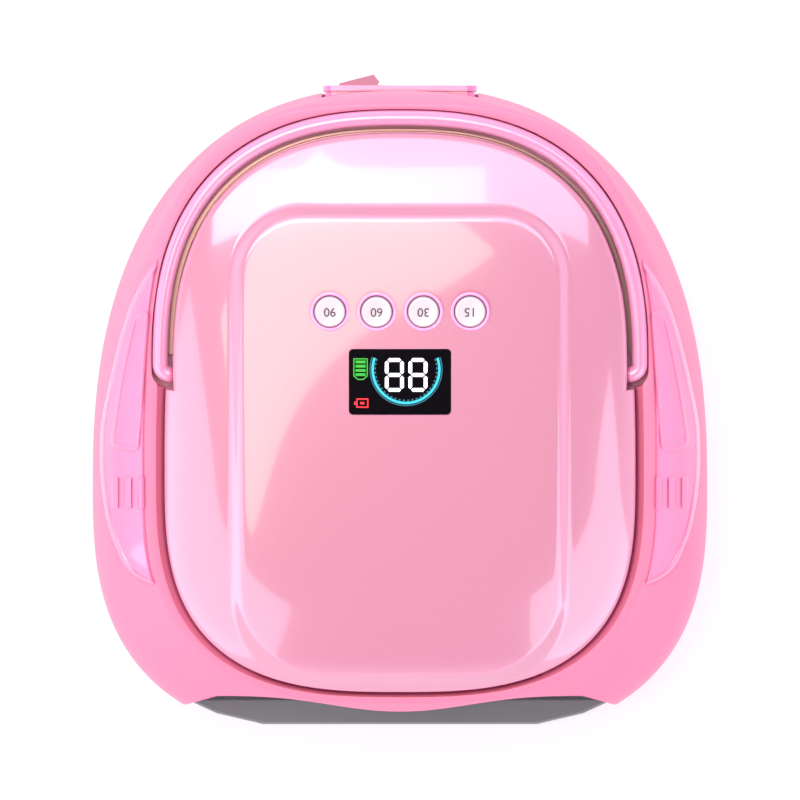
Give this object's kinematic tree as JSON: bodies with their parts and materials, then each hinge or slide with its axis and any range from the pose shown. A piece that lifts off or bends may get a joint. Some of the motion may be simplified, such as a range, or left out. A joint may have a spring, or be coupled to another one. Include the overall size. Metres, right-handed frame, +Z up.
{
  "type": "uv nail lamp",
  "caption": "Cordless UV nail-curing lamp: egg-shaped casing with a front mouth for the hand, slide-out tray, folding carry handle, keys, display, rocker switch and socket.",
  "frame": {"origin": "on the table under the middle of the lamp's bounding box", "axes": "+X to the lamp's right when seen from above with the mouth towards the viewer, +Y to the back with the switch and socket, +Z up; the mouth faces -Y"},
  "size_m": [0.23, 0.2432, 0.1],
  "materials": {
    "pink_casing": "glossy moulded ABS with a pearl lacquer",
    "pink_gloss": "mirror-gloss pearl lacquer over ABS",
    "pink_ring": "glossy translucent light ring",
    "pale_key": "pale satin cap with a printed numeral",
    "rose_gold": "rose-gold strip",
    "smoked_window": "smoked acrylic",
    "black_plastic": "fine-grained black moulding",
    "white_plastic": "satin white moulding",
    "circuit_board": "white solder mask on glass-fibre laminate",
    "zinc_screw": "zinc-plated steel",
    "led_lens": "clear silicone lens over a pale phosphor",
    "aluminium_plate": "rolled aluminium",
    "cell_wrap": "shrink-wrapped steel cells",
    "grey_rubber": "soft grey rubber",
    "nickel": "nickel-plated steel",
    "grey_plastic": "satin grey moulding",
    "reflector_sheet": "bright reflective sheet",
    "rocker_pink": "glossy pink moulding"
  },
  "bodies": {
    "housing": {"outer_shell": "pink_casing", "deck_carrier": "white_plastic", "visor_cover": "pink_gloss", "left_side_panel": "pink_gloss", "right_side_panel": "pink_gloss", "channel_trim": "rose_gold", "display_window": "smoked_window", "display_module": "black_plastic", "key_rings": "pink_ring", "key_switches": "black_plastic", "control_board": "circuit_board", "board_screws": "zinc_screw", "cover_screws": "zinc_screw", "handle_bushes": "white_plastic", "reflector_liner": "white_plastic", "liner_screws": "zinc_screw", "led_beads": "led_lens", "led_roof_board": "circuit_board", "led_left_board": "circuit_board", "led_right_board": "circuit_board", "hand_sensors": "black_plastic", "heat_spreader": "aluminium_plate", "battery_cells": "cell_wrap", "battery_holder": "black_plastic", "base_frame": "white_plastic", "base_screws": "zinc_screw", "rubber_feet": "grey_rubber", "tray_magnets": "nickel", "rear_panel": "pink_casing", "rear_screws": "zinc_screw", "rocker_housing": "rocker_pink", "charging_socket": "black_plastic", "socket_nut": "nickel", "power_board": "circuit_board"},
    "handle": {"handle_bail": "pink_gloss", "handle_clips": "zinc_screw"},
    "tray": {"base_tray": "grey_plastic", "tray_sheet": "reflector_sheet", "tray_strikes": "nickel"},
    "rocker": {"rocker_paddle": "rocker_pink"},
    "key_90": {"key_90s": "pale_key"},
    "key_60": {"key_60s": "pale_key"},
    "key_30": {"key_30s": "pale_key"},
    "key_15": {"key_15s": "pale_key"}
  },
  "joints": [
    {"name": "handle_swing", "type": "hinge", "parent": "housing", "child": "handle", "pos_m": [0, 0.00953, 0.07398], "axis": [1, 0, 0], "range_deg": [0, 95]},
    {"name": "tray_slide", "type": "slide", "parent": "housing", "child": "tray", "axis": [0, -1, 0], "range_m": [0, 0.205]},
    {"name": "rocker_tilt", "type": "hinge", "parent": "housing", "child": "rocker", "pos_m": [-0.0147, 0.1138, 0.036], "axis": [0, 0, 1], "range_deg": [-28.8, 0]},
    {"name": "key_90_press", "type": "slide", "parent": "housing", "child": "key_90", "axis": [0, 0.1219, -0.9925], "range_m": [0, 0.0006], "stiffness_N_per_m": 600, "springref_m": -0.001},
    {"name": "key_60_press", "type": "slide", "parent": "housing", "child": "key_60", "axis": [0, 0.1219, -0.9925], "range_m": [0, 0.0006], "stiffness_N_per_m": 600, "springref_m": -0.001},
    {"name": "key_30_press", "type": "slide", "parent": "housing", "child": "key_30", "axis": [0, 0.1219, -0.9925], "range_m": [0, 0.0006], "stiffness_N_per_m": 600, "springref_m": -0.001},
    {"name": "key_15_press", "type": "slide", "parent": "housing", "child": "key_15", "axis": [0, 0.1219, -0.9925], "range_m": [0, 0.0006], "stiffness_N_per_m": 600, "springref_m": -0.001}
  ]
}
